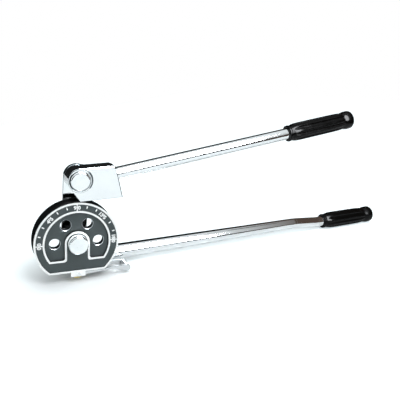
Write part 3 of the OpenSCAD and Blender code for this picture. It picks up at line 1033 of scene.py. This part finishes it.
class PIPEBENDER_OT_grips(Operator):
    """Makes the two fluted grips"""

    bl_idname = "pipebender.grips"
    bl_label = "Grips"

    def execute(self, context):
        vinyl = moulded_vinyl()
        slope = math.radians(UPPER_SLOPE)
        along = Vector((math.cos(slope), 0, math.sin(slope)))
        below = Vector((math.sin(slope), 0, -math.cos(slope)))
        start = PIVOT + (below * UPPER_DROP + along * UPPER_GRIP_AT) * MM
        lying = math.radians(90)
        fit_grip("fluted_upper_grip", "upper_grip", UPPER_GRIP_LENGTH, start, lying - slope, vinyl)
        low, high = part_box("lower_grip")
        start = Vector((low.x, (low.y + high.y) / 2, (low.z + high.z) / 2))
        fit_grip("fluted_lower_grip", "lower_grip", (high.x - low.x) / MM, start, lying, vinyl)
        return {"FINISHED"}


# Stage


def floor_finish():
    """Matt white card: it keeps the object's shadow, and is lifted where an eye or a mirror sees it."""
    colours = bpy.context.scene.bender_colours
    material, tree, place = start_material("matt_white_card")
    # Paper fibre about 2 mm across
    fibre = add(tree, "ShaderNodeTexNoise", {"Vector": place, "Scale": 1 / (2 * MM), "Detail": 2})
    tint = add(
        tree, "ShaderNodeMix",
        {"Factor": fibre.outputs["Fac"], MIX_A: shaded(colours.floor, 0.985), MIX_B: opaque(colours.floor)},
        data_type="RGBA",
    )
    card = add(tree, "ShaderNodeBsdfDiffuse", {"Color": tint.outputs[MIX_RESULT]})
    path = add(tree, "ShaderNodeLightPath")
    # A mirror sees the card bright in front of the tool, and plain right below it for the rods' undersides
    across = add(tree, "ShaderNodeSeparateXYZ", {"Vector": place})
    ahead = add(
        tree, "ShaderNodeMapRange",
        {"Value": across.outputs["Y"], "From Min": -0.05, "From Max": -0.01, "To Min": 0.26, "To Max": 0},
    )
    mirrored = add(
        tree, "ShaderNodeMath", {0: path.outputs["Is Glossy Ray"], 1: ahead.outputs["Result"]},
        operation="MULTIPLY",
    )
    # Near the wheel's foot the lift stays low so that the shadow shows, and farther off the card is white
    away = add(tree, "ShaderNodeVectorMath", {0: place, 1: (0, 0, FLOOR_Z)}, operation="DISTANCE")
    fade = add(
        tree, "ShaderNodeMapRange",
        {
            "Value": away.outputs["Value"], "From Min": 0.03, "From Max": 0.085,
            "To Min": 0.104, "To Max": 0.624,
        },
    )
    lift = add(
        tree, "ShaderNodeMath",
        {0: path.outputs["Is Camera Ray"], 1: fade.outputs["Result"], 2: mirrored.outputs["Value"]},
        operation="MULTIPLY_ADD",
    )
    glow = add(
        tree, "ShaderNodeEmission", {"Color": opaque(colours.floor_lift), "Strength": lift.outputs["Value"]}
    )
    both = add(tree, "ShaderNodeAddShader", {0: card.outputs["BSDF"], 1: glow.outputs["Emission"]})
    add(tree, "ShaderNodeOutputMaterial", {"Surface": both.outputs["Shader"]})
    return material


class PIPEBENDER_OT_stage(Operator):
    """Makes the floor, the studio light and the camera"""

    bl_idname = "pipebender.stage"
    bl_label = "Stage"

    def execute(self, context):
        self.lay_floor()
        self.set_world(context)
        # The key light shapes the matt faces, and the tall strip lights only what is glossy, as the grips are
        key = self.hang_lamp(
            context, "key_light", size=(0.5, 0.5), energy=6,
            place=Vector((0.25, -0.7, 0.85)), aim=Vector((0.15, 0, 0)),
        )
        key.visible_glossy = False
        strip = self.hang_lamp(
            context, "strip_light", size=(0.5, 1.4), energy=80,
            place=Vector((0.4, -0.75, 0.8)), aim=Vector((0.24, 0, 0.08)),
        )
        strip.visible_diffuse = False
        self.place_camera(context)
        context.scene.view_settings.view_transform = "Standard"
        return {"FINISHED"}

    def lay_floor(self):
        """A card under the tool. Its front edge runs aslant below the camera, so that the rods mirror a dark
        line beyond it."""
        bpy.ops.object.select_all(action="DESELECT")
        bpy.ops.mesh.primitive_plane_add(size=1)
        floor = bpy.context.object
        floor.name = "floor"
        middle = Matrix.Translation((0.14, 0.26, FLOOR_Z))
        turn = Matrix.Rotation(math.radians(38), 4, "Z")
        size = Matrix.Diagonal((3, 1.2, 1, 1))
        settle(floor, middle @ turn @ size)
        floor.data.materials.append(floor_finish())

    def set_world(self, context):
        """A bright ceiling between a dark strip at the front horizon and a dark wall behind, with a brown
        wall at the right that the far half of the lower rod mirrors."""
        colours = context.scene.bender_colours
        world = bpy.data.worlds.new("studio")
        context.scene.world = world
        world.use_nodes = True
        tree = world.node_tree
        tree.nodes.clear()
        coords = add(tree, "ShaderNodeTexCoord")
        way = add(tree, "ShaderNodeSeparateXYZ", {"Vector": coords.outputs["Generated"]})
        front = add(tree, "ShaderNodeMath", {0: way.outputs["Y"], 1: -1}, operation="MULTIPLY")
        angle = add(
            tree, "ShaderNodeMath", {0: way.outputs["Z"], 1: front.outputs["Value"]}, operation="ARCTAN2"
        )
        turn = add(
            tree, "ShaderNodeMapRange",
            {"Value": angle.outputs["Value"], "From Min": -math.pi, "From Max": math.pi},
        )
        ramp = add(tree, "ShaderNodeValToRGB", {"Fac": turn.outputs["Result"]})
        # Angle over the ceiling, from the front horizon at 0 to the back horizon at 180, and brightness
        levels = ((-180, 0.02), (11, 0.02), (14, 1.0), (113, 1.0), (120, 0.015), (180, 0.015))
        stops = ramp.color_ramp.elements
        while len(stops) < len(levels):
            stops.new(0.5)
        for stop, (degrees, level) in zip(stops, levels):
            stop.position = (degrees + 180) / 360
            stop.color = shaded(colours.ceiling, level)
        side = add(tree, "ShaderNodeMapRange", {"Value": way.outputs["X"], "From Min": 0.4, "From Max": 0.6})
        room = add(
            tree, "ShaderNodeMix",
            {
                "Factor": side.outputs["Result"],
                MIX_A: ramp.outputs["Color"], MIX_B: opaque(colours.side_wall),
            },
            data_type="RGBA",
        )
        studio = add(tree, "ShaderNodeBackground", {"Color": room.outputs[MIX_RESULT], "Strength": 1.02})
        plain = add(tree, "ShaderNodeBackground", {"Color": (1, 1, 1, 1), "Strength": 1})
        path = add(tree, "ShaderNodeLightPath")
        either = add(
            tree, "ShaderNodeMixShader",
            {
                0: path.outputs["Is Camera Ray"],
                1: studio.outputs["Background"], 2: plain.outputs["Background"],
            },
        )
        add(tree, "ShaderNodeOutputWorld", {"Surface": either.outputs["Shader"]})

    def hang_lamp(self, context, name, size, energy, place, aim):
        """A soft area lamp of that size in metres, turned towards its aim."""
        lamp = bpy.data.lights.new(name, "AREA")
        lamp.shape = "RECTANGLE"
        lamp.size, lamp.size_y = size
        lamp.energy = energy
        lamp.color = context.scene.bender_colours.lamp
        softbox = bpy.data.objects.new(name, lamp)
        context.scene.collection.objects.link(softbox)
        turn = (aim - place).to_track_quat("-Z", "Y")
        softbox.matrix_world = Matrix.Translation(place) @ turn.to_matrix().to_4x4()
        return softbox

    def place_camera(self, context):
        """A camera at the photograph's angle: in front of the wheel, a little to its left and above it."""
        eye = Vector((-0.0826, -0.4509, 0.1888))
        forward = Vector((0.4066, 0.8587, -0.3121)).normalized()
        up = Vector((0.1124, 0.2919, 0.9498))
        right = forward.cross(up).normalized()
        up = right.cross(forward)
        lens = bpy.data.cameras.new("camera")
        lens.lens = 45
        lens.sensor_width = 36
        lens.clip_start = 0.01
        camera = bpy.data.objects.new("camera", lens)
        context.scene.collection.objects.link(camera)
        camera.matrix_world = Matrix.Translation(eye) @ Matrix((right, up, -forward)).transposed().to_4x4()
        context.scene.camera = camera


class PIPEBENDER_PT_sidebar(Panel):
    """Lists the pieces and their sizes and colours"""

    bl_idname = "PIPEBENDER_PT_sidebar"
    bl_label = "Pipe bender"
    bl_space_type = "VIEW_3D"
    bl_region_type = "UI"
    bl_category = "Pipe bender"

    def draw(self, context):
        for maker in MAKERS:
            self.layout.operator(maker.bl_idname)
        for group in (context.scene.bender_sizes, context.scene.bender_colours):
            for name in group.bl_rna.properties.keys():
                if name not in ("rna_type", "name"):
                    self.layout.prop(group, name)


MAKERS = (
    PIPEBENDER_OT_castings,
    PIPEBENDER_OT_dial_marks,
    PIPEBENDER_OT_plated_levers,
    PIPEBENDER_OT_pins,
    PIPEBENDER_OT_bare_metal,
    PIPEBENDER_OT_grips,
    PIPEBENDER_OT_stage,
)
CLASSES = (BenderSizes, BenderColours, *MAKERS, PIPEBENDER_PT_sidebar)


def register():
    for kind in CLASSES:
        bpy.utils.register_class(kind)
    bpy.types.Scene.bender_sizes = PointerProperty(type=BenderSizes)
    bpy.types.Scene.bender_colours = PointerProperty(type=BenderColours)


def unregister():
    del bpy.types.Scene.bender_colours
    del bpy.types.Scene.bender_sizes
    for kind in reversed(CLASSES):
        bpy.utils.unregister_class(kind)


def main():
    register()
    bpy.ops.pipebender.castings()
    bpy.ops.pipebender.dial_marks()
    bpy.ops.pipebender.plated_levers()
    bpy.ops.pipebender.pins()
    bpy.ops.pipebender.bare_metal()
    bpy.ops.pipebender.grips()
    bpy.ops.pipebender.stage()


if __name__ == "__main__":
    main()
